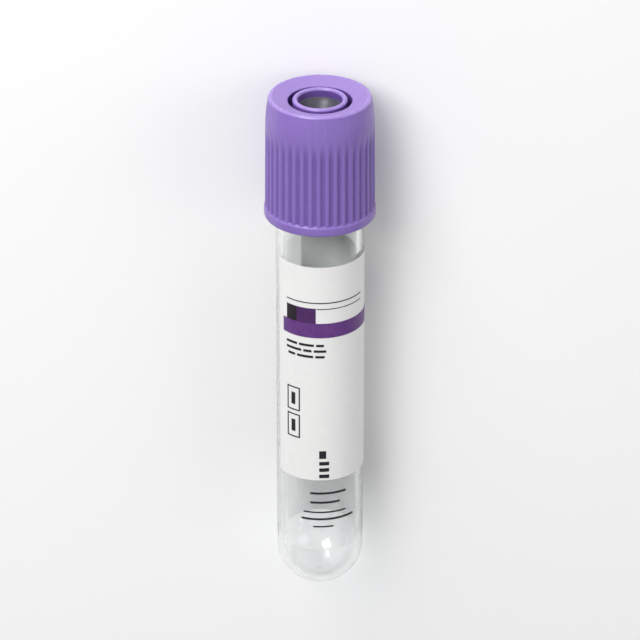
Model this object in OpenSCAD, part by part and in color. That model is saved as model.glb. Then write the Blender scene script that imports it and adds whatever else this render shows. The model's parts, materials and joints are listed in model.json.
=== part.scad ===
// Evacuated blood collection tube, 13 x 75 mm, lying on its side as it comes to rest.
// Every sub-part is drawn upright first: the round bottom's tip is at the origin and the
// tube's axis is +Z. lying() then lays it down, so that the axis runs along -X and the
// cap's base band and the round bottom both touch z = 0. All sizes are millimetres.

/* [Tube] */
// Outer diameter of the tube
tube_od = 13; // [12.8:0.1:13.2]
// Length from the tip of the round bottom to the rim
tube_length = 75; // [72:1:100]
// Wall thickness
tube_wall = 1; // [0.8:0.1:1.1]

/* [Safety cap] */
// Height from the base band's lower edge to the rim
cap_height = 19; // [18.5:0.5:20]
// How far the skirt reaches down over the tube
cap_grip = 12.5; // [12:0.5:13]
// Diameter over the base band
cap_band_d = 16.5; // [16.4:0.1:17]
// Number of grip flutes
flutes = 40; // [24:1:42]
// Depth of a flute where it meets the base band
flute_depth = 0.22; // [0.1:0.02:0.26]
// Turn of the cap on the tube, in degrees from a flute right on top
cap_turn = 3.2; // [0:0.1:9]
// Diameter of the opening that the needle goes through
well_d = 6.5; // [6.3:0.1:6.6]

/* [Rubber stopper] */
// How far the plug reaches down into the tube
plug_depth = 7.8; // [6:0.2:9]
// Depth of the dish in the stopper's top
dish_depth = 2.2; // [1.6:0.2:2.4]

/* [Label] */
// Distance from the cap's base band to the label's upper edge
label_gap = 5.8; // [5:0.2:8]
// Length of the white printed field
white_length = 36; // [30:1:36]
// Length of the whole film
film_length = 48.2; // [40:0.2:48.2]
// Width of the clear window in the white field, in degrees round the tube
window_angle = 85; // [70:1:110]

/* [Hidden] */
$fn = 96;

// tube
tube_r = tube_od / 2;
bore_r = tube_r - tube_wall;
neck_draft = 0.08;       // the neck under the cap leans in by this much
rim_round = 0.3;
edge_sides = 12;         // a round edge's section is part of a polygon with this many sides
cap_base = tube_length - cap_grip;
neck_z = cap_base - 1;   // the neck starts just below the cap

// cap, from the base band up
band_r = cap_band_d / 2;
band_height = 1.5;
band_round = 0.3;
cap_top = cap_base + cap_height;
side_low_r = band_r - 0.13;
side_high_r = band_r - 0.25;
fade_z = cap_top - 4.5;  // the flutes end here and the side starts to round in
rim_r = band_r - 0.65;   // outside radius where the side meets the rim's bead
rim_bead = 0.45;         // radius of the rim's round edge
rim_z = cap_top - rim_bead;
side_steps = 6;
flute_cutter_r = 0.42;
skirt_r = tube_r + 0.35; // inside of the skirt
seat_r = tube_r + 0.3;   // inside of the cap round the stopper's flange
snap_r = tube_r + 0.12;  // the bead that holds the flange in
snap_round = 0.33;

// cap, its inner tower
well_r = well_d / 2;
lip_height = 0.9;        // straight wall of the needle opening
collar_r = well_r + 0.8; // outside of the collar
collar_round = 0.4;
collar_top = cap_top - 0.4;
lip_z = collar_top - collar_round - lip_height;
groove_r = collar_r + 0.65;
groove_wall = 0.9;
dish_edge_z = cap_top - 0.72;
web_height = 0.9;
top_wall = 1.1;

// stopper
fit_gap = 0.05;
flange_top = tube_length + 2;
boss_r = well_r + 0.25;
flange_r = seat_r - fit_gap;
plug_r = bore_r - fit_gap;
plug_chamfer = 0.5;
dish_r = well_r - 0.15;
dish_ball_r = (dish_r * dish_r + dish_depth * dish_depth) / (2 * dish_depth);
core_r = 3.2;            // hollow in the plug's underside
core_tip_r = 1.8;
core_height = plug_depth - 2.6;

// label, whose angles count round the tube from its upper side
film = 0.06;             // thickness of the clear film
layer = 0.04;            // thickness of each coat of print
film_out = tube_r + film;
label_top = cap_base - label_gap;
film_low = label_top - film_length;
white_low = label_top - white_length;
white_start = -65;
white_end = white_start + 360 - window_angle;
film_gap = 8;            // the film's two ends stop this far apart, in degrees, in the window
film_wing = (window_angle - film_gap) / 2;
band_margin = 10.5;      // the purple band stops this much inside the white field
band_z = label_top - 11.7;
stripe_height = 2.4;
block_z = band_z + stripe_height;
block_height = 2.5;
square_angles = [-47.5, -31.5];
plum_angles = [-31.5, -5.5];

// lines of print, each [height above the label's top (negative), thickness, start, end]
write_in_lines = [[-5.9, 0.16, -47.5, 64], [-6.9, 0.12, -4.5, 64]];
note_bars = [[-13.0, 0.38, -48, -31], [-13.0, 0.38, -28, -8], [-13.0, 0.38, -5, 5],
             [-13.95, 0.38, -48, -25], [-13.95, 0.38, -22, -11], [-13.95, 0.38, -8, 8],
             [-14.9, 0.38, -45, -34], [-14.9, 0.38, -31, -9], [-14.9, 0.38, -6, 6]];
volume_bars = [[-31.6, 1.3, -1, 8], [-33.1, 0.6, -1, 12], [-34.2, 0.6, -1, 12],
               [-35.3, 0.6, -1, 12]];
foot_bars = [[-38.3, 0.34, -13, 36], [-39.9, 0.34, -13, 27], [-41.6, 0.24, -22, 36],
             [-42.8, 0.34, -25, 48], [-44.1, 0.24, -9, 18]];
// outlined boxes, each [lower edge, height, start, end], with a bar inside
stamp_boxes = [[-24.5, 4, -47, -27], [-29.1, 4, -47, -27]];
stamp_line = 0.2;

// the lean of the axis when the band's lower edge and the round bottom touch the table
edge_run = cap_base + band_round - tube_r;
edge_rise = band_r - band_round;
lean = atan2(edge_rise, edge_run) - asin((tube_r - band_round) / norm([edge_run, edge_rise]));
x_low = tube_r * cos(lean) - tube_r;
x_high = rim_z * cos(lean) + (rim_r - rim_bead) * sin(lean) + rim_bead;

module lying() {
    rotate([0, 0, 180])
        translate([-(x_low + x_high) / 2, 0, tube_r * (1 - sin(lean))])
            rotate([0, 90 - lean, 0])
                children();
}

// a rectangle of the half section: radius from r0 to r1, height from z0 to z1
module slab(r0, r1, z0, z1) {
    translate([r0, z0]) square([r1 - r0, z1 - z0]);
}

// a curved patch on the tube, between two heights and two angles
module patch(z0, z1, start, end, r0, thick = layer) {
    rotate([0, 0, 180 + start])
        rotate_extrude(angle = end - start)
            slab(r0, r0 + thick, z0, z1);
}

// bars of print, hung from the label's upper edge
module bars(rows, r0) {
    for (b = rows)
        patch(label_top + b[0] - b[1] / 2, label_top + b[0] + b[1] / 2, b[2], b[3], r0);
}

module tube() {
    color([0.86, 0.89, 0.90, 0.35])
    lying()
    difference() {
        union() {
            translate([0, 0, tube_r]) sphere(r = tube_r);
            rotate_extrude() union() {
                slab(0, tube_r, tube_r, neck_z);
                polygon([[0, neck_z], [tube_r, neck_z],
                         [tube_r - neck_draft, tube_length - rim_round], [0, tube_length - rim_round]]);
                slab(0, tube_r - neck_draft - rim_round, tube_length - 2 * rim_round, tube_length);
                translate([tube_r - neck_draft - rim_round, tube_length - rim_round])
                    circle(r = rim_round, $fn = edge_sides);
            }
        }
        translate([0, 0, tube_r]) sphere(r = bore_r);
        translate([0, 0, tube_r]) cylinder(r = bore_r, h = tube_length);
    }
}

module label_film() {
    color([0.93, 0.94, 0.93, 0.3])
    lying()
        patch(film_low, label_top, white_start - film_wing, white_end + film_wing, tube_r, film);
}

module label_print_white() {
    color([0.93, 0.93, 0.92])
    lying()
        patch(white_low, label_top, white_start, white_end, film_out);
}

module label_print_purple() {
    color([0.40, 0.22, 0.56])
    lying()
        patch(band_z, band_z + stripe_height, white_start + band_margin, white_end - band_margin,
              film_out + layer);
}

module label_print_plum() {
    color([0.32, 0.22, 0.42])
    lying()
        patch(block_z, block_z + block_height, plum_angles[0], plum_angles[1], film_out + layer);
}

module label_print_ink() {
    color([0.25, 0.24, 0.27])
    lying() {
        on_white = film_out + layer;
        patch(block_z, block_z + block_height, square_angles[0], square_angles[1], on_white);
        bars(write_in_lines, on_white);
        bars(note_bars, on_white);
        bars(volume_bars, on_white);
        bars(foot_bars, film_out);
        for (b = stamp_boxes) {
            edge = stamp_line / on_white * 180 / PI;
            low = label_top + b[0];
            difference() {
                patch(low, low + b[1], b[2], b[3], on_white);
                rotate([0, 0, 180 + b[2] + edge])
                    rotate_extrude(angle = b[3] - b[2] - 2 * edge)
                        slab(tube_r, tube_r + 1, low + stamp_line, low + b[1] - stamp_line);
            }
            patch(low + 1, low + b[1] - 1, b[2] + 7, b[3] - 7, on_white);
        }
    }
}

// the side's outline from the flutes' upper end to the rim, curving in as a parabola
function side_curve() = [for (i = [0:side_steps])
    let (t = i / side_steps)
    [side_high_r - (side_high_r - rim_r) * t * t, fade_z + (rim_z - fade_z) * t]];

module cap_section() {
    // base band with round edges
    slab(skirt_r, band_r - band_round, cap_base, cap_base + band_height);
    slab(skirt_r, band_r, cap_base + band_round, cap_base + band_height - band_round);
    for (z = [cap_base + band_round, cap_base + band_height - band_round])
        translate([band_r - band_round, z]) circle(r = band_round, $fn = edge_sides);
    // skirt and top
    difference() {
        polygon(concat([[skirt_r, cap_base + band_round], [side_low_r, cap_base + band_round],
                        [side_low_r, cap_base + band_height]],
                       side_curve(),
                       [[rim_r - rim_bead, rim_z + rim_bead], [groove_r, dish_edge_z],
                        [groove_r, flange_top], [skirt_r, flange_top]]));
        slab(groove_r + groove_wall, seat_r, tube_length - 1, dish_edge_z - top_wall);
        slab(0, seat_r, tube_length - 1, flange_top);
    }
    translate([rim_r - rim_bead, rim_z]) circle(r = rim_bead, $fn = edge_sides);
    // bead that the stopper's flange snaps past
    intersection() {
        translate([snap_r + snap_round, tube_length - snap_round])
            circle(r = snap_round, $fn = edge_sides);
        slab(0, side_low_r, tube_length - 2, tube_length + 1);
    }
    // web and collar
    slab(boss_r, groove_r + groove_wall, flange_top, flange_top + web_height);
    slab(boss_r, collar_r, flange_top, collar_top - collar_round);
    slab(well_r, collar_r, lip_z, collar_top - collar_round);
    translate([well_r + collar_round, collar_top - collar_round])
        circle(r = collar_round, $fn = edge_sides);
}

// one flute's cutter: a rod that leans out, so that its cut fades to nothing at fade_z
module flute_cutter() {
    foot_z = cap_base + band_height;
    foot_x = side_low_r - flute_depth + flute_cutter_r;
    top_x = side_high_r + flute_cutter_r;
    tilt = atan2(top_x - foot_x, fade_z - foot_z);
    translate([foot_x, 0, foot_z])
        rotate([0, tilt, 0])
            cylinder(r = flute_cutter_r, h = cap_height - band_height);
}

module safety_cap() {
    color([0.56, 0.45, 0.74])
    lying() rotate([0, 0, cap_turn])
    difference() {
        rotate_extrude() cap_section();
        for (i = [0:flutes - 1])
            rotate([0, 0, i * 360 / flutes]) flute_cutter();
    }
}

module rubber_stopper() {
    color([0.36, 0.36, 0.39])
    lying()
    difference() {
        rotate_extrude() {
            slab(0, flange_r, tube_length + fit_gap, flange_top);
            slab(0, boss_r, flange_top, lip_z);
            polygon([[0, tube_length - plug_depth], [plug_r - plug_chamfer, tube_length - plug_depth],
                     [plug_r, tube_length - plug_depth + plug_chamfer],
                     [plug_r, tube_length + fit_gap], [0, tube_length + fit_gap]]);
        }
        translate([0, 0, lip_z - dish_depth + dish_ball_r]) sphere(r = dish_ball_r);
        translate([0, 0, tube_length - plug_depth]) cylinder(r1 = core_r, r2 = core_tip_r, h = core_height);
    }
}

tube();
label_film();
label_print_white();
label_print_purple();
label_print_plum();
label_print_ink();
safety_cap();
rubber_stopper();
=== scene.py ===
"""Looks for the blood collection tube: clear tube, wrap label, fluted safety cap, rubber stopper.

Every turned piece is drawn upright in millimetres, with its axis on Z and the round bottom's tip
at the origin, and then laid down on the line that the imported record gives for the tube's body.
Angles round the tube count from its upper side, towards +Y.
"""

import json
import math

import bpy
import numpy as np
from mathutils import Matrix, Vector


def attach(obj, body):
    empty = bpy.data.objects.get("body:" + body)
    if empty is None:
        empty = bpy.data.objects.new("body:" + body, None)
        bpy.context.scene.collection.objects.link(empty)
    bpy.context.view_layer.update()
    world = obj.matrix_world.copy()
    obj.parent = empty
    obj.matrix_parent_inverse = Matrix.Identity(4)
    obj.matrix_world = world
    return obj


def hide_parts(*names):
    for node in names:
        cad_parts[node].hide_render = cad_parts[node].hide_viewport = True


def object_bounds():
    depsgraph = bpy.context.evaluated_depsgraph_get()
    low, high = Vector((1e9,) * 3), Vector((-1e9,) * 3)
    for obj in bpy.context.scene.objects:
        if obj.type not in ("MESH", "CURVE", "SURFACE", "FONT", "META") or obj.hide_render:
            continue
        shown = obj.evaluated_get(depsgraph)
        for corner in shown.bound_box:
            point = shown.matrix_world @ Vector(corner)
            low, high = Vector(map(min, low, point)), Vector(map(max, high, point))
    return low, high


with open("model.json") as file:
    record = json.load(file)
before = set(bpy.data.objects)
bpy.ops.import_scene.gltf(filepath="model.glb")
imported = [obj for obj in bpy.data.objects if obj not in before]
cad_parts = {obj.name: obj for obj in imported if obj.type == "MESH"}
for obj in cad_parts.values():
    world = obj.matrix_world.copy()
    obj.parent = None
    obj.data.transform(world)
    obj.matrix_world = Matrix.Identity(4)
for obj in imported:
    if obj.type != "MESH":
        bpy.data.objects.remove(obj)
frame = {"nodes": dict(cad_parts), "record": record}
cad_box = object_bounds()
MIDDLE = (cad_box[0] + cad_box[1]) / 2

MM, MICRON = 0.001, 0.000001
SMOOTH_UNDER = 35   # edges sharper than this many degrees stay sharp

# tube
TUBE_R, BORE_R, TUBE_LENGTH = 6.5, 5.5, 75.0
NECK_Z, NECK_R, RIM_ROUND, BORE_ROUND = 61.5, 6.42, 0.3, 0.12
GATE_R, GATE_DEPTH = 0.9, 0.06
GATE_FLAT_R, GATE_FLAT_Z = GATE_R * 0.8, GATE_DEPTH + 0.05
TUBE_SIDES, TUBE_SMOOTH_UNDER = 192, 50
BODY_MOUNT_Z = 34   # height of the mount on the tube's body

# label; angles in degrees
FILM, LAYER, LIFT = 0.06, 0.04, 0.006
LABEL_TOP, FILM_LOW, WHITE_LOW = 56.7, 8.5, 20.7
WHITE_START, WHITE_END = -65.0, 210.0
FILM_START, FILM_END = -103.5, 248.5
BAND_LOW, BAND_TOP, BAND_START, BAND_END = 45.0, 47.4, -54.5, 199.5
PLUM_LOW, PLUM_TOP, PLUM_START, PLUM_END = 47.4, 49.9, -31.5, -5.5
SHEET_STEP = 1.5

# safety cap
CAP_BASE, CAP_TOP = 62.5, 81.5
BAND_R, CAP_BAND_H, BAND_ROUND = 8.25, 1.5, 0.3
SIDE_LOW_R, SIDE_HIGH_R, FADE_Z = 8.12, 8.0, 77.0
RIM_R, RIM_BEAD, RIM_END = 7.6, 0.45, 112
SKIRT_R, SEAT_R, SNAP_R, SNAP_ROUND = 6.85, 6.8, 6.62, 0.33
EDGE_ROUND, WEB_ROUND = 0.12, 0.2
DISH_RIM_R, DISH_RIM_Z = 6.86, 81.385
WELL_R, COLLAR_R, COLLAR_TOP, COLLAR_ROUND = 3.25, 4.05, 81.1, 0.4
LIP_Z, GROOVE_R, DISH_EDGE_Z = 79.8, 4.7, 80.78
HOLLOW_R, HOLLOW_TOP, WEB_TOP, FLANGE_TOP = 5.6, 79.68, 77.9, 77.0
FLUTES, FLUTE_DEPTH, FLUTE_SIDES, CAP_TURN = 40, 0.24, 18, 3.2
FLUTE_FOOT_LOW, FLUTE_FOOT_HIGH, FLUTE_LEAST_R = 0.06, 0.16, 7.3
FLUTE_FADE_START, FLUTE_FADE_END = 74.2, 77.7
CAP_SMOOTH_UNDER = 38
MASK_DEPTH, CROWN_R, CROWN_HEIGHT, COLLAR_EDGE_HEIGHT = 4, 6.95, 0.3, 0.16

# rubber stopper
BOSS_R, FLANGE_R, FLANGE_LOW = 3.5, 6.75, 75.05
PLUG_R, PLUG_LOW, PLUG_CHAMFER = 5.45, 67.2, 0.5
DISH_R, DISH_DEPTH = 3.1, 2.2
CORE_R, CORE_TIP_R, CORE_TOP = 3.2, 1.8, 72.4
STOPPER_EDGE, STOPPER_SIDES = 0.1, 160
PLUG_GROOVES, GROOVE_CUT, GROOVE_HALF, GROOVE_FLOOR_HALF = (73.2, 71.4, 69.6), 0.05, 0.35, 0.2

# studio: each lamp's direction from the part, distance, size and power
LAMPS = {"key": ((-0.72, -0.46, 0.88), 0.85, 0.42, 4.9),
         "side": ((-0.30, 1.0, 0.55), 0.9, 0.5, 1.5),
         "crown_highlight": ((-1.0, -0.32, 0.26), 0.7, 0.30, 2.3)}
FLOOR_HALF = 2.5
HORIZON_TONE, TOP_TONE, WORLD_STRENGTH = (0.20, 0.20, 0.21, 1), (0.62, 0.62, 0.63, 1), 0.8
HORIZON_END, TOP_START = 0.02, 0.75

# camera: degrees down past the cap, lens and sensor in millimetres, distance and aim in metres
CAMERA_DROP, CAMERA_LENS, CAMERA_SENSOR, CAMERA_DISTANCE = 28, 246, 36, 0.65
CAMERA_AIM = (-0.0050, 0, 0.002)


def laid_down():
    """The move from the upright drawing to the lying tube, from the record's mount on the tube's body."""
    mount = next(m for m in frame["record"]["mounts"] if m["name"] == "tube_body")
    along = -Vector(mount["axis"]).normalized()
    side = along.cross(Vector((0, 0, 1))).normalized()
    upper = side.cross(along)
    tip = Vector(mount["pos_m"]) - along * BODY_MOUNT_Z * MM
    turn = Matrix((upper, side, along)).transposed().to_4x4()
    return Matrix.Translation(tip) @ turn


LAY = laid_down()
UPRIGHT = LAY.to_3x3().inverted().to_euler()


# ---------------------------------------------------------------- meshes

def arc(r, z, radius, start, end, steps):
    """Points of a round edge in the half section, between two angles in degrees."""
    turns = np.radians(np.linspace(start, end, steps + 1))
    return [(r + radius * math.cos(t), z + radius * math.sin(t)) for t in turns]


def line(first, last, steps):
    """Points between two points of the half section, without the last one."""
    return [(first[0] + (last[0] - first[0]) * i / steps, first[1] + (last[1] - first[1]) * i / steps)
            for i in range(steps)]


def mesh_object(name, points, faces, smooth_under=SMOOTH_UNDER):
    """An object whose faces point outwards, smooth except over sharp edges."""
    data = bpy.data.meshes.new(name)
    data.from_pydata([tuple(p) for p in points], [], faces)
    data.update()
    data.validate()
    signed = sum(p.area * p.normal.dot(p.center) for p in data.polygons)
    if signed < 0:
        data.flip_normals()
    data.shade_smooth()
    data.set_sharp_from_angle(angle=math.radians(smooth_under))
    made = bpy.data.objects.new(name, data)
    bpy.context.scene.collection.objects.link(made)
    return made


def turned(name, outline, steps, closed, smooth_under=SMOOTH_UNDER):
    """A solid turned from an outline of (radius, height); an open outline starts and ends on the axis."""
    points, rings, faces = [], [], []
    angles = np.arange(steps) * 2 * math.pi / steps
    for r, z in outline:
        if r < 1e-6:
            rings.append([len(points)] * steps)
            points.append((0, 0, z))
        else:
            rings.append(list(range(len(points), len(points) + steps)))
            points.extend((r * math.cos(t), r * math.sin(t), z) for t in angles)
    pairs = list(zip(rings, rings[1:] + rings[:1] if closed else rings[1:]))
    for low, high in pairs:
        for i in range(steps):
            j = (i + 1) % steps
            face = [low[i], low[j], high[j], high[i]]
            face = [v for k, v in enumerate(face) if v != face[k - 1]]
            if len(face) > 2:
                faces.append(face)
    return mesh_object(name, points, faces, smooth_under)


def wrapped(name, low, high, start, end, inner, outer):
    """A closed curved sheet round the tube, between two heights and two angles."""
    steps = max(2, round((end - start) / SHEET_STEP))
    angles = np.radians(np.linspace(start, end, steps + 1))
    corners = [(inner, low), (outer, low), (outer, high), (inner, high)]
    points = [(r * math.cos(t), r * math.sin(t), z) for t in angles for r, z in corners]
    faces = [[3, 2, 1, 0], [4 * steps + k for k in range(4)]]
    for i in range(steps):
        for k in range(4):
            a, b = 4 * i + k, 4 * i + (k + 1) % 4
            faces.append([a, b, b + 4, a + 4])
    return mesh_object(name, points, faces)


def lay_down(piece):
    """Puts a piece's place into its mesh: millimetres to metres, upright to lying."""
    piece.data.transform(LAY @ Matrix.Scale(MM, 4))
    piece.data.update()
    return piece


def finished(piece, finish, body, *nodes):
    """Gives a laid-down piece its material and its body, and hides the node that it stands for."""
    piece.data.materials.clear()
    piece.data.materials.append(finish)
    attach(piece, body)
    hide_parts(*nodes)


# ---------------------------------------------------------------- node trees

class Nodes:
    """Short hand for adding and wiring nodes in one tree."""

    def __init__(self, tree):
        self.tree = tree

    def add(self, kind, links=None, **settings):
        node = self.tree.nodes.new(kind)
        for key, value in settings.items():
            setattr(node, key, value)
        for key, value in (links or {}).items():
            self.feed(node.inputs[key], value)
        return node

    def feed(self, socket, value):
        if isinstance(value, bpy.types.NodeSocket):
            self.tree.links.new(value, socket)
        else:
            socket.default_value = value

    def math(self, operation, *values, clamp=False):
        node = self.add("ShaderNodeMath", operation=operation, use_clamp=clamp)
        for socket, value in zip(node.inputs, values):
            self.feed(socket, value)
        return node.outputs[0]

    def ramp(self, value, low, high, to_low=0.0, to_high=1.0):
        node = self.add("ShaderNodeMapRange", interpolation_type="SMOOTHSTEP")
        for socket, number in zip(node.inputs, (value, low, high, to_low, to_high)):
            self.feed(socket, number)
        return node.outputs["Result"]

    def noise(self, vector, scale, detail):
        node = self.add("ShaderNodeTexNoise", {"Vector": vector, "Scale": scale, "Detail": detail})
        return node.outputs["Fac"]

    def blend(self, share, first, second):
        node = self.add("ShaderNodeMix", data_type="RGBA")
        colours = [s for s in node.inputs if s.type == "RGBA"]
        self.feed(node.inputs["Factor"], share)
        self.feed(colours[0], first)
        self.feed(colours[1], second)
        return next(s for s in node.outputs if s.type == "RGBA")

    def along_tube(self, vector, stretch=(1, 1, 1)):
        """Object coordinates turned so that Z runs along the tube's axis, then stretched."""
        standing = self.add("ShaderNodeMapping", {"Vector": vector, "Rotation": tuple(UPRIGHT)})
        return self.add("ShaderNodeMapping", {"Vector": standing.outputs[0], "Scale": stretch}).outputs[0]


def node_group(name, inputs, outputs):
    """A shader node group with named sockets: {name: default} in, names out."""
    group = bpy.data.node_groups.new(name, "ShaderNodeTree")
    for label, default in inputs.items():
        kind = "NodeSocketVector" if default is None else (
            "NodeSocketColor" if isinstance(default, tuple) else "NodeSocketFloat")
        socket = group.interface.new_socket(label, in_out="INPUT", socket_type=kind)
        if default is not None:
            socket.default_value = default
    for label, kind in outputs.items():
        group.interface.new_socket(label, in_out="OUTPUT", socket_type=kind)
    nodes = Nodes(group)
    return group, nodes, nodes.add("NodeGroupInput").outputs, nodes.add("NodeGroupOutput").inputs


def moulded_skin_group():
    """Fine skin of a moulded plastic or rubber: soft tone drift, pits, flow streaks and fine grain."""
    group, n, given, out = node_group(
        "Moulded Skin",
        {"Vector": None, "Drift": 0.5, "Grain": 0.5, "Streaks": 0.3, "Roughness Low": 0.3,
         "Roughness High": 0.45},
        {"Tone": "NodeSocketFloat", "Roughness": "NodeSocketFloat", "Height": "NodeSocketFloat"})
    space = n.along_tube(given["Vector"])
    streaked = n.along_tube(given["Vector"], (1, 1, 0.06))
    drift = n.noise(space, 140, 3)
    grain = n.noise(space, 5200, 2)
    streaks = n.noise(streaked, 1500, 2)
    tone = n.math("MULTIPLY", n.math("SUBTRACT", drift, 0.5), given["Drift"])
    tone = n.math("ADD", tone, n.math("MULTIPLY", n.math("SUBTRACT", grain, 0.5), given["Grain"]))
    tone = n.math("ADD", tone, n.math("MULTIPLY", n.math("SUBTRACT", streaks, 0.5), given["Streaks"]))
    n.feed(out["Tone"], n.math("ADD", tone, 0.5, clamp=True))
    n.feed(out["Roughness"], n.ramp(n.noise(space, 420, 3), 0.3, 0.7, given["Roughness Low"],
                                    given["Roughness High"]))
    height = n.math("ADD", n.math("MULTIPLY", grain, given["Grain"]),
                    n.math("MULTIPLY", streaks, given["Streaks"]))
    n.feed(out["Height"], height)
    return group


def handling_group():
    """Marks of handling: a few hairline scratches and pale specks of dust, as a mask from 0 to 1."""
    group, n, given, out = node_group(
        "Handling Marks", {"Vector": None, "Scratches": 0.5, "Dust": 0.5},
        {"Marks": "NodeSocketFloat"})
    space = n.along_tube(given["Vector"])
    slanted = n.add("ShaderNodeMapping", {"Vector": space, "Rotation": (0.35, 0.2, 0.6),
                                          "Scale": (1, 1, 0.05)}).outputs[0]
    hairs = n.ramp(n.noise(slanted, 2600, 1), 0.70, 0.76)
    patches = n.ramp(n.noise(space, 190, 2), 0.5, 0.62)
    scratches = n.math("MULTIPLY", n.math("MULTIPLY", hairs, patches), given["Scratches"])
    cells = n.add("ShaderNodeTexVoronoi", {"Vector": space, "Scale": 900.0, "Randomness": 1.0})
    specks = n.ramp(cells.outputs["Distance"], 0.05, 0.12, 1.0, 0.0)
    rare = n.ramp(n.noise(space, 620, 1), 0.62, 0.66)
    dust = n.math("MULTIPLY", n.math("MULTIPLY", specks, rare), given["Dust"])
    n.feed(out["Marks"], n.math("MAXIMUM", scratches, dust))
    return group


def printed_group():
    """Ink on film: an even coat with a fine screen, pinholes and slightly uneven density."""
    group, n, given, out = node_group(
        "Printed Coat",
        {"Vector": None, "Ink": (0.1, 0.1, 0.1, 1), "Thin Ink": (0.2, 0.2, 0.2, 1), "Unevenness": 0.5,
         "Screen": 0.2},
        {"Colour": "NodeSocketColor", "Height": "NodeSocketFloat"})
    space = n.along_tube(given["Vector"])
    cloud = n.noise(space, 900, 4)
    fine = n.noise(space, 7000, 1)
    cells = n.add("ShaderNodeTexVoronoi", {"Vector": space, "Scale": 6200.0, "Randomness": 0.25})
    screen = n.ramp(cells.outputs["Distance"], 0.25, 0.6)
    density = n.math("MULTIPLY", n.ramp(cloud, 0.3, 0.75), given["Unevenness"])
    density = n.math("ADD", density, n.math("MULTIPLY", screen, given["Screen"]), clamp=True)
    n.feed(out["Colour"], n.blend(density, given["Ink"], given["Thin Ink"]))
    n.feed(out["Height"], n.math("ADD", fine, n.math("MULTIPLY", cloud, 0.5)))
    return group


SKIN, HANDLING, PRINTED = moulded_skin_group(), handling_group(), printed_group()


def material(name, **sockets):
    """A new material with one Principled BSDF whose plain values are set on its own sockets."""
    made = bpy.data.materials.new(name)
    made.use_nodes = True
    n = Nodes(made.node_tree)
    shader = made.node_tree.nodes["Principled BSDF"]
    for label, value in sockets.items():
        shader.inputs[label.replace("_", " ")].default_value = value
    place = n.add("ShaderNodeTexCoord").outputs["Object"]
    return made, n, shader, place


def grouped(n, group, place, **values):
    """One use of a node group, with its own values."""
    node = n.add("ShaderNodeGroup", node_tree=group)
    n.feed(node.inputs["Vector"], place)
    for label, value in values.items():
        n.feed(node.inputs[label.replace("_", " ")], value)
    return node.outputs


def bumped(n, shader, height, microns):
    """Feeds a height, in steps of so many microns, to the shader's normal."""
    bump = n.add("ShaderNodeBump", {"Height": height, "Distance": microns * MICRON, "Strength": 1.0})
    n.feed(shader.inputs["Normal"], bump.outputs[0])


def clear_pet():
    """Clear moulded PET, with faint flow streaks and fine handling marks."""
    made, n, shader, place = material("clear_pet", Base_Color=(0.955, 0.965, 0.962, 1), Roughness=0.03,
                                      IOR=1.575, Transmission_Weight=1.0)
    skin = grouped(n, SKIN, place, Drift=0.2, Grain=0.02, Streaks=0.5, Roughness_Low=0.02,
                   Roughness_High=0.05)
    marks = grouped(n, HANDLING, place, Scratches=0.6, Dust=0.5)["Marks"]
    n.feed(shader.inputs["Roughness"], n.math("ADD", skin["Roughness"], n.math("MULTIPLY", marks, 0.25)))
    bumped(n, shader, skin["Height"], 4)
    let_through = n.add("ShaderNodeBsdfTransparent", {"Color": (0.90, 0.91, 0.91, 1)}).outputs[0]
    shadow = n.add("ShaderNodeLightPath").outputs["Is Shadow Ray"]
    mix = n.add("ShaderNodeMixShader", {0: shadow, 1: shader.outputs[0], 2: let_through})
    n.feed(made.node_tree.nodes["Material Output"].inputs["Surface"], mix.outputs[0])
    return made


def label_film():
    """Clear satin film with a light haze, denser where the surface is scuffed."""
    made, n, shader, place = material("label_film", Base_Color=(0.86, 0.87, 0.87, 1), Roughness=0.34,
                                      IOR=1.49)
    skin = grouped(n, SKIN, place, Drift=0.6, Grain=0.5, Streaks=0.2, Roughness_Low=0.28,
                   Roughness_High=0.42)
    marks = grouped(n, HANDLING, place, Scratches=0.5, Dust=0.6)["Marks"]
    n.feed(shader.inputs["Roughness"], skin["Roughness"])
    haze = n.ramp(skin["Tone"], 0.2, 0.8, 0.12, 0.20)
    n.feed(shader.inputs["Alpha"], n.math("ADD", haze, n.math("MULTIPLY", marks, 0.25), clamp=True))
    bumped(n, shader, skin["Height"], 6)
    return made


def label_white():
    """Opaque white print: satin, with a fine tooth and slightly uneven density."""
    made, n, shader, place = material("label_white", Roughness=0.5, IOR=1.46)
    coat = grouped(n, PRINTED, place, Ink=(0.780, 0.776, 0.764, 1), Thin_Ink=(0.735, 0.732, 0.724, 1),
                   Unevenness=0.4, Screen=0.0)
    marks = grouped(n, HANDLING, place, Scratches=0.25, Dust=0.35)["Marks"]
    n.feed(shader.inputs["Base Color"], n.blend(n.math("MULTIPLY", marks, 0.5), coat["Colour"],
                                                (0.60, 0.59, 0.57, 1)))
    bumped(n, shader, coat["Height"], 8)
    return made


def ink(name, colour, thin, screen):
    """A coat of coloured ink on the white print."""
    made, n, shader, place = material(name, Roughness=0.42, IOR=1.5, Specular_IOR_Level=0.35)
    coat = grouped(n, PRINTED, place, Ink=colour, Thin_Ink=thin, Unevenness=0.22, Screen=screen)
    n.feed(shader.inputs["Base Color"], coat["Colour"])
    bumped(n, shader, coat["Height"], 6)
    return made


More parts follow.
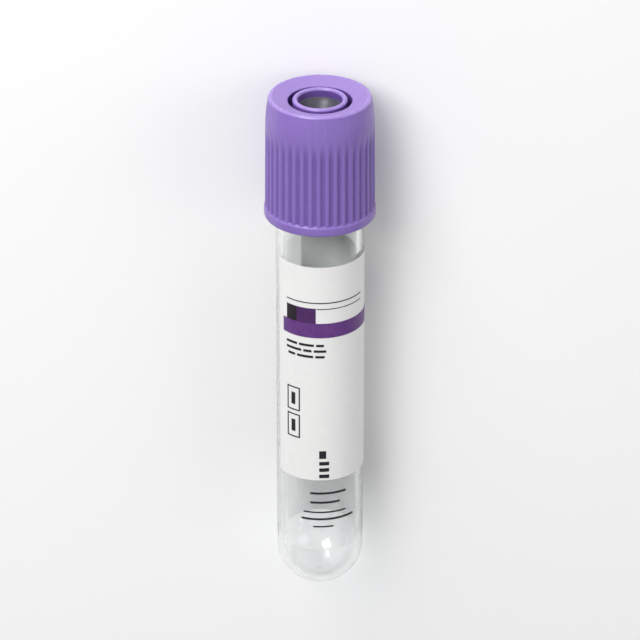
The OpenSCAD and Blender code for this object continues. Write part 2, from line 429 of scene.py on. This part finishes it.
def lavender_plastic():
    """Lavender moulded polyethylene: waxy and satin, grained on the dish, with painted shade in the
    flutes, the groove and the well, and a painted highlight on the rim and collar crowns.
    """
    made, n, shader, place = material("lavender_plastic", Roughness=0.4, IOR=1.51, Subsurface_Weight=0.12,
                                      Subsurface_Radius=(0.9, 0.55, 1.0), Subsurface_Scale=0.0009)
    skin = grouped(n, SKIN, place, Drift=0.5, Grain=0.35, Streaks=0.4, Roughness_Low=0.34,
                   Roughness_High=0.47)
    marks = grouped(n, HANDLING, place, Scratches=0.5, Dust=0.5)["Marks"]
    hollow, grained, recess_shade, crown_highlight = (n.add("ShaderNodeAttribute", attribute_name=mask).outputs["Fac"]
                                    for mask in ("flute", "grained", "recess_shade", "crown_highlight"))
    body = n.blend(skin["Tone"], (0.180, 0.105, 0.390, 1), (0.255, 0.165, 0.480, 1))
    # painted shade: the flute hollows are darkened towards a deep purple
    body = n.blend(n.math("MULTIPLY", hollow, 0.55), body, (0.098, 0.048, 0.255, 1))
    # painted shade: the walls down the groove and the well are darkened towards a deep purple
    body = n.blend(n.math("MULTIPLY", recess_shade, 0.75), body, (0.085, 0.036, 0.215, 1))
    body = n.blend(n.math("MULTIPLY", grained, 0.45), body, (0.330, 0.225, 0.520, 1))
    # painted highlight: the rim bead and the collar's top are lightened, besides being made glossier
    # below
    body = n.blend(n.math("MULTIPLY", crown_highlight, 0.45), body, (0.400, 0.285, 0.620, 1))
    body = n.blend(n.math("MULTIPLY", marks, 0.35), body, (0.62, 0.53, 0.78, 1))
    n.feed(shader.inputs["Base Color"], body)
    rough = n.math("ADD", skin["Roughness"], n.math("MULTIPLY", grained, 0.12))
    n.feed(shader.inputs["Roughness"], n.math("SUBTRACT", rough, n.math("MULTIPLY", crown_highlight, 0.12)))
    pits = n.noise(n.along_tube(place), 3300, 2)
    height = n.math("ADD", skin["Height"], n.math("MULTIPLY", n.math("MULTIPLY", pits, grained), 3.0))
    bumped(n, shader, height, 14)
    return made


def grey_rubber():
    """Grey moulded rubber with a dull bloom."""
    made, n, shader, place = material("grey_rubber", Roughness=0.55, IOR=1.52)
    skin = grouped(n, SKIN, place, Drift=0.9, Grain=0.6, Streaks=0.1, Roughness_Low=0.34,
                   Roughness_High=0.52)
    marks = grouped(n, HANDLING, place, Scratches=0.2, Dust=0.9)["Marks"]
    bloom = n.blend(skin["Tone"], (0.042, 0.038, 0.056, 1), (0.105, 0.098, 0.128, 1))
    n.feed(shader.inputs["Base Color"], n.blend(n.math("MULTIPLY", marks, 0.4), bloom,
                                                (0.3, 0.3, 0.32, 1)))
    n.feed(shader.inputs["Roughness"], skin["Roughness"])
    bumped(n, shader, skin["Height"], 20)
    return made


def pale_floor():
    """Plain pale matt floor."""
    made, n, shader, place = material("pale_floor", Roughness=0.9, Specular_IOR_Level=0.1)
    cloud = n.noise(place, 3.0, 2)
    n.feed(shader.inputs["Base Color"], n.blend(n.ramp(cloud, 0.3, 0.7), (0.84, 0.84, 0.84, 1),
                                                (0.86, 0.86, 0.86, 1)))
    return made


# ---------------------------------------------------------------- the fluted cap

# the node tree's inputs, which the modifier is given once more by their identifiers
FLUTE_INPUTS = {"Flutes": FLUTES, "Depth": FLUTE_DEPTH, "Foot Height": CAP_BASE + CAP_BAND_H,
                "Foot Low": FLUTE_FOOT_LOW, "Foot High": FLUTE_FOOT_HIGH,
                "Fade Start": FLUTE_FADE_START, "Fade End": FLUTE_FADE_END, "Least Radius": FLUTE_LEAST_R}


def flutes_tree(finish):
    """Geometry nodes that press a ring of flutes into the side of a turned cap standing on its axis."""
    tree = bpy.data.node_groups.new("Press Flutes", "GeometryNodeTree")
    face = tree.interface
    face.new_socket("Geometry", in_out="INPUT", socket_type="NodeSocketGeometry")
    for label, value in FLUTE_INPUTS.items():
        kind = "NodeSocketInt" if isinstance(value, int) else "NodeSocketFloat"
        face.new_socket(label, in_out="INPUT", socket_type=kind).default_value = value
    face.new_socket("Geometry", in_out="OUTPUT", socket_type="NodeSocketGeometry")
    n = Nodes(tree)
    given = n.add("NodeGroupInput").outputs
    place = n.add("GeometryNodeInputPosition").outputs[0]
    parts = n.add("ShaderNodeSeparateXYZ", {0: place}).outputs
    reach = n.math("SQRT", n.math("ADD", n.math("MULTIPLY", parts["X"], parts["X"]),
                                  n.math("MULTIPLY", parts["Y"], parts["Y"])))
    turn = n.math("MULTIPLY", n.math("ARCTAN2", parts["Y"], parts["X"]), given["Flutes"])
    wave = n.math("MULTIPLY_ADD", n.math("COSINE", turn), 0.5, 0.5)
    hollow = n.ramp(wave, 0.0, 1.0)
    foot = n.ramp(parts["Z"], n.math("SUBTRACT", given["Foot Height"], given["Foot Low"]),
                  n.math("ADD", given["Foot Height"], given["Foot High"]))
    fade = n.ramp(parts["Z"], given["Fade Start"], given["Fade End"], 1.0, 0.0)
    outside = n.math("GREATER_THAN", reach, given["Least Radius"])
    cut = n.math("MULTIPLY", n.math("MULTIPLY", hollow, foot), n.math("MULTIPLY", fade, outside))
    outward = n.add("ShaderNodeCombineXYZ", {0: parts["X"], 1: parts["Y"], 2: 0.0}).outputs[0]
    outward = n.add("ShaderNodeVectorMath", {0: outward}, operation="NORMALIZE").outputs[0]
    depth = n.math("MULTIPLY", n.math("MULTIPLY", cut, given["Depth"]), -1.0)
    step = n.add("ShaderNodeVectorMath", {0: outward, "Scale": depth}, operation="SCALE")
    # keeps how far each point is pressed in, as the mask for the painted shade in the flutes
    kept = n.add("GeometryNodeStoreNamedAttribute",
                 {"Geometry": given["Geometry"], "Name": "flute", "Value": cut},
                 data_type="FLOAT", domain="POINT")
    pressed = n.add("GeometryNodeSetPosition", {"Geometry": kept.outputs[0], "Offset": step.outputs[0]})
    whole = n.add("GeometryNodeRealizeInstances", {"Geometry": pressed.outputs[0]})
    dressed = n.add("GeometryNodeSetMaterial", {"Geometry": whole.outputs[0], "Material": finish})
    n.feed(n.add("NodeGroupOutput").inputs[0], dressed.outputs[0])
    return tree


def cap_outline():
    """The cap's closed half section, from the inside of the skirt's foot outwards and up."""
    mid = BAND_R - BAND_ROUND
    band_top = CAP_BASE + CAP_BAND_H
    shoulder = math.degrees(math.acos((SIDE_LOW_R - mid) / BAND_ROUND))
    outline = [(SKIRT_R, CAP_BASE + EDGE_ROUND), (SKIRT_R + EDGE_ROUND, CAP_BASE)]
    outline += arc(mid, CAP_BASE + BAND_ROUND, BAND_ROUND, -90, 0, 6)
    outline += arc(mid, band_top - BAND_ROUND, BAND_ROUND, 0, shoulder, 5)
    low, high = (SIDE_LOW_R, band_top + 0.02), (SIDE_HIGH_R, FADE_Z)
    first = (low[0] + (high[0] - low[0]) * 0.02, band_top + 0.26)
    outline += line(low, first, 5) + line(first, high, 26)
    rim_z = CAP_TOP - RIM_BEAD
    for i in range(8):
        t = i / 8
        outline.append((SIDE_HIGH_R - (SIDE_HIGH_R - RIM_R) * t * t, FADE_Z + (rim_z - FADE_Z) * t))
    outline += arc(RIM_R - RIM_BEAD, rim_z, RIM_BEAD, 0, RIM_END, 12)
    lip = DISH_EDGE_Z + 0.03
    outline += line((DISH_RIM_R, DISH_RIM_Z), (GROOVE_R + EDGE_ROUND, lip), 8)
    outline += arc(GROOVE_R + EDGE_ROUND, lip - EDGE_ROUND, EDGE_ROUND, 90, 180, 4)
    outline += line((GROOVE_R, DISH_EDGE_Z - 0.4), (GROOVE_R, WEB_TOP + WEB_ROUND), 3)
    outline += arc(GROOVE_R - WEB_ROUND, WEB_TOP + WEB_ROUND, WEB_ROUND, 0, -90, 3)[:-1]
    outline += arc(COLLAR_R + WEB_ROUND, WEB_TOP + WEB_ROUND, WEB_ROUND, -90, -180, 3)
    outline += arc(COLLAR_R - COLLAR_ROUND, COLLAR_TOP - COLLAR_ROUND, COLLAR_ROUND, 0, 180, 14)
    outline += [(WELL_R, LIP_Z + 0.3), (WELL_R, LIP_Z), (BOSS_R, LIP_Z), (BOSS_R, FLANGE_TOP),
                (HOLLOW_R, FLANGE_TOP), (HOLLOW_R, HOLLOW_TOP), (SEAT_R, HOLLOW_TOP),
                (SEAT_R, FLANGE_TOP), (SKIRT_R, FLANGE_TOP)]
    bulge = math.degrees(math.acos((SKIRT_R - SNAP_R - SNAP_ROUND) / SNAP_ROUND))
    outline += arc(SNAP_R + SNAP_ROUND, TUBE_LENGTH - SNAP_ROUND, SNAP_ROUND, bulge, 360 - bulge, 8)
    return outline


def make_cap():
    """The safety cap, turned, then fluted by the node tree."""
    blank = turned("cap_blank", cap_outline(), FLUTE_SIDES * FLUTES, closed=True,
                   smooth_under=CAP_SMOOTH_UNDER)
    points = np.empty(len(blank.data.vertices) * 3)
    blank.data.vertices.foreach_get("co", points)
    points = points.reshape(-1, 3)
    reach, height = np.hypot(points[:, 0], points[:, 1]), points[:, 2]
    on_top = height > CAP_TOP - MASK_DEPTH
    dish, groove = height > DISH_EDGE_Z - 0.02, height < DISH_EDGE_Z - 0.05
    rim = (height > CAP_TOP - CROWN_HEIGHT) & (reach > CROWN_R)
    collar = (height > COLLAR_TOP - COLLAR_EDGE_HEIGHT) & (reach < COLLAR_R)
    masks = {"grained": on_top & dish & (reach > GROOVE_R + 0.1) & (reach < CROWN_R),
             # painted shade on the groove and well walls, where little light reaches
             "recess_shade": on_top & groove & (reach < GROOVE_R + 0.01),
             # painted highlight on the rim bead and the collar's top
             "crown_highlight": on_top & (rim | collar)}
    for name, chosen in masks.items():
        mask = blank.data.attributes.new(name, "FLOAT", "POINT")
        mask.data.foreach_set("value", chosen.astype(np.float32))
    tree = flutes_tree(lavender_plastic())
    press = blank.modifiers.new("Press Flutes", "NODES")
    press.node_group = tree
    sockets = {s.name: s.identifier for s in tree.interface.items_tree
               if s.item_type == "SOCKET" and s.in_out == "INPUT"}
    for label, value in FLUTE_INPUTS.items():
        press[sockets[label]] = value
    graph = bpy.context.evaluated_depsgraph_get()
    fluted = bpy.data.meshes.new_from_object(blank.evaluated_get(graph))
    fluted.name = "fluted_cap"
    cap = bpy.data.objects.new("fluted_cap", fluted)
    cap.data.transform(Matrix.Rotation(math.radians(CAP_TURN), 4, "Z"))
    bpy.context.scene.collection.objects.link(cap)
    blank.modifiers.remove(press)
    bpy.data.objects.remove(blank)
    return cap


# ---------------------------------------------------------------- tube, stopper and label

def tube_outline():
    """The tube's half section: outside from the tip up, over the rim, and down the bore."""
    dimple = [(0, GATE_DEPTH), (GATE_FLAT_R, GATE_FLAT_Z)]
    first = math.degrees(math.asin(GATE_R / TUBE_R)) - 90
    outline = dimple + arc(0, TUBE_R, TUBE_R, first, 0, 26)
    outline += line((TUBE_R, TUBE_R + 2), (TUBE_R, NECK_Z), 24)
    outline += line((TUBE_R, NECK_Z), (NECK_R, TUBE_LENGTH - RIM_ROUND), 6)
    outline += arc(NECK_R - RIM_ROUND, TUBE_LENGTH - RIM_ROUND, RIM_ROUND, 0, 90, 6)
    outline += arc(BORE_R + BORE_ROUND, TUBE_LENGTH - BORE_ROUND, BORE_ROUND, 90, 180, 4)
    outline += line((BORE_R, TUBE_LENGTH - 2), (BORE_R, TUBE_R + 2), 24)
    return outline + arc(0, TUBE_R, BORE_R, 0, -90, 24)[:-1] + [(0, TUBE_R - BORE_R)]


def stopper_outline():
    """The stopper's half section, from the middle of its dish out and down to the hollow plug."""
    ball = (DISH_R ** 2 + DISH_DEPTH ** 2) / (2 * DISH_DEPTH)
    centre = LIP_Z - DISH_DEPTH + ball
    last = math.degrees(math.acos(DISH_R / ball))
    outline = [(0, LIP_Z - DISH_DEPTH)] + arc(0, centre, ball, -90, -last, 22)[1:-1]
    edge = STOPPER_EDGE
    outline += [(DISH_R - 0.02, LIP_Z - 0.03), (DISH_R + 0.03, LIP_Z), (BOSS_R, LIP_Z),
                (BOSS_R, FLANGE_TOP), (FLANGE_R - edge, FLANGE_TOP), (FLANGE_R, FLANGE_TOP - edge),
                (FLANGE_R, FLANGE_LOW + edge), (FLANGE_R - edge, FLANGE_LOW),
                (PLUG_R + edge, FLANGE_LOW), (PLUG_R, FLANGE_LOW - edge)]
    for z in PLUG_GROOVES:
        outline += [(PLUG_R, z + GROOVE_HALF), (PLUG_R - GROOVE_CUT, z + GROOVE_FLOOR_HALF),
                    (PLUG_R - GROOVE_CUT, z - GROOVE_FLOOR_HALF), (PLUG_R, z - GROOVE_HALF)]
    outline += [(PLUG_R, PLUG_LOW + PLUG_CHAMFER), (PLUG_R - PLUG_CHAMFER, PLUG_LOW),
                (CORE_R + edge, PLUG_LOW), (CORE_R, PLUG_LOW + edge),
                (CORE_TIP_R, CORE_TOP), (0, CORE_TOP)]
    return outline


def make_label():
    """The film and its opaque coats, as thin curved sheets that follow the tube."""
    film_out, white_out = TUBE_R + FILM, TUBE_R + FILM + LAYER
    sheets = (
        ("clear_film", "label_film", label_film(),
         (FILM_LOW, LABEL_TOP, FILM_START, FILM_END, TUBE_R + LIFT, film_out - LIFT)),
        ("white_field", "label_print_white", label_white(),
         (WHITE_LOW, LABEL_TOP, WHITE_START, WHITE_END, film_out, white_out)),
        ("purple_stripe", "label_print_purple",
         ink("purple_ink", (0.094, 0.024, 0.170, 1), (0.165, 0.072, 0.250, 1), 0.25),
         (BAND_LOW, BAND_TOP, BAND_START, BAND_END, white_out, white_out + LAYER)),
        ("plum_block", "label_print_plum",
         ink("plum_ink", (0.055, 0.012, 0.090, 1), (0.100, 0.038, 0.138, 1), 0.20),
         (PLUM_LOW, PLUM_TOP, PLUM_START, PLUM_END, white_out, white_out + LAYER)))
    for name, node, coat, (low, high, start, end, inner, outer) in sheets:
        finished(lay_down(wrapped(name, low, high, start, end, inner, outer)), coat, "tube", node)
    marks = frame["nodes"]["label_print_ink"]
    black = ink("black_ink", (0.012, 0.008, 0.014, 1), (0.030, 0.024, 0.032, 1), 0.15)
    for slot in marks.material_slots:
        slot.material = black


# ---------------------------------------------------------------- studio

def soft_lamp(name, towards, distance, size, watts):
    """A square area lamp that looks at the middle of the part from a direction."""
    lamp = bpy.data.lights.new(name, "AREA")
    lamp.shape, lamp.size, lamp.energy = "SQUARE", size, watts
    holder = bpy.data.objects.new(name, lamp)
    away = Vector(towards).normalized()
    holder.location = MIDDLE + away * distance
    holder.rotation_euler = away.to_track_quat("Z", "Y").to_euler()
    bpy.context.scene.collection.objects.link(holder)


def studio():
    """Pale floor, soft lamps and a world that dims to the horizon, which draws the clear tube's edges."""
    data = bpy.data.meshes.new("floor")
    corners = [(-1, -1), (1, -1), (1, 1), (-1, 1)]
    data.from_pydata([(x * FLOOR_HALF, y * FLOOR_HALF, 0) for x, y in corners], [], [(0, 1, 2, 3)])
    floor = bpy.data.objects.new("floor", data)
    floor.data.materials.append(pale_floor())
    bpy.context.scene.collection.objects.link(floor)
    for name, settings in LAMPS.items():
        soft_lamp(name, *settings)
    world = bpy.data.worlds.new("studio")
    world.use_nodes = True
    bpy.context.scene.world = world
    n = Nodes(world.node_tree)
    back = world.node_tree.nodes["Background"]
    around = n.add("ShaderNodeTexCoord").outputs["Generated"]
    height = n.add("ShaderNodeSeparateXYZ", {0: around}).outputs["Z"]
    n.feed(back.inputs["Color"], n.blend(n.ramp(height, HORIZON_END, TOP_START), HORIZON_TONE, TOP_TONE))
    back.inputs["Strength"].default_value = WORLD_STRENGTH


def set_camera():
    """The camera looks down past the cap at the lying tube, with the cap at the top."""
    along = LAY.col[2].to_3d()
    upper = LAY.col[0].to_3d()
    drop = math.radians(CAMERA_DROP)
    back = along * math.sin(drop) + upper * math.cos(drop)
    up = along * math.cos(drop) - upper * math.sin(drop)
    right = up.cross(back)
    data = bpy.data.cameras.new("camera")
    data.lens, data.sensor_width = CAMERA_LENS, CAMERA_SENSOR
    data.clip_start, data.clip_end = 0.01, 20
    camera = bpy.data.objects.new("camera", data)
    turn = Matrix((right, up, back)).transposed()
    aim = MIDDLE + Vector(CAMERA_AIM)
    camera.matrix_world = Matrix.Translation(aim + back * CAMERA_DISTANCE) @ turn.to_4x4()
    bpy.context.scene.collection.objects.link(camera)
    bpy.context.scene.camera = camera


tube = lay_down(turned("clear_tube", tube_outline(), TUBE_SIDES, closed=False,
                       smooth_under=TUBE_SMOOTH_UNDER))
finished(tube, clear_pet(), "tube", "tube")
make_label()
cap = lay_down(make_cap())
finished(cap, cap.data.materials[0], "cap", "safety_cap")
stopper = lay_down(turned("stopper", stopper_outline(), STOPPER_SIDES, closed=False))
finished(stopper, grey_rubber(), "cap", "rubber_stopper")
studio()
set_camera()

scene = bpy.context.scene
scene.view_settings.view_transform = "Standard"
